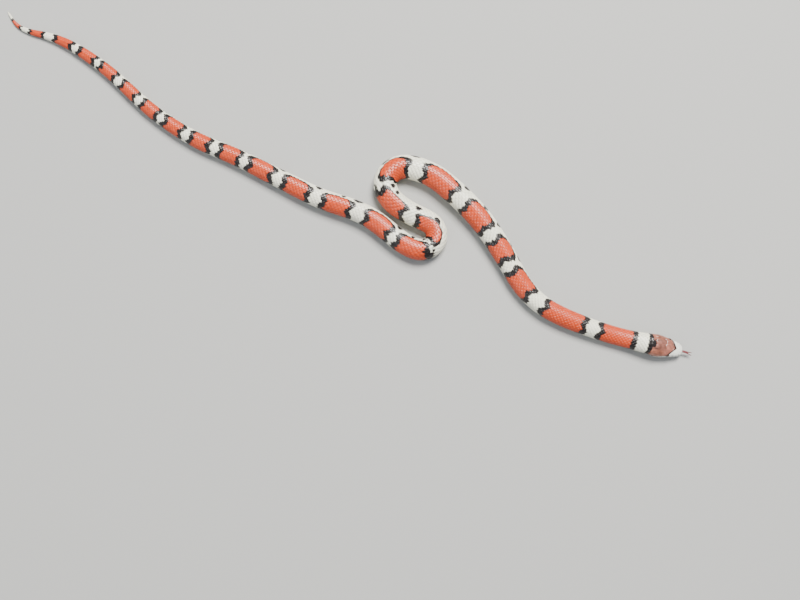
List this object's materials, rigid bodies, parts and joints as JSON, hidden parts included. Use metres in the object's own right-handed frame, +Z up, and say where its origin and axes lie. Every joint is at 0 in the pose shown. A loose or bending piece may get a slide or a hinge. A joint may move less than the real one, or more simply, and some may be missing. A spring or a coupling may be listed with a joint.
{
  "type": "milk snake",
  "caption": "Life-size model of a young milk snake lying in long curves with two tight bends, its head slightly raised and its forked tongue out.",
  "frame": {"origin": "on the ground, below the middle of the bounding box of the whole snake", "axes": "+Z up from the ground the belly rests on, +X along the longest extent toward the head"},
  "size_m": [0.1947, 0.1015, 0.0058],
  "materials": {
    "head_skin": "smooth glossy scales, brown-red crown, black nape and cream snout",
    "body_skin": "smooth glossy scales, orange-red saddles edged in black on cream",
    "tail_skin": "smooth glossy scales, orange-red and cream rings edged in black",
    "eye": "clear wet gloss over a dark iris and a round pupil",
    "tongue": "moist, dark pinkish red"
  },
  "bodies": {
    "root": {"head": "head_skin", "eye_left": "eye", "eye_right": "eye", "tongue": "tongue", "neck": "body_skin", "forebody": "body_skin", "upper_bend": "body_skin", "middle_body": "body_skin", "lower_bend": "body_skin", "hind_body": "body_skin", "rump": "body_skin", "tail": "tail_skin"}
  },
  "joints": []
}
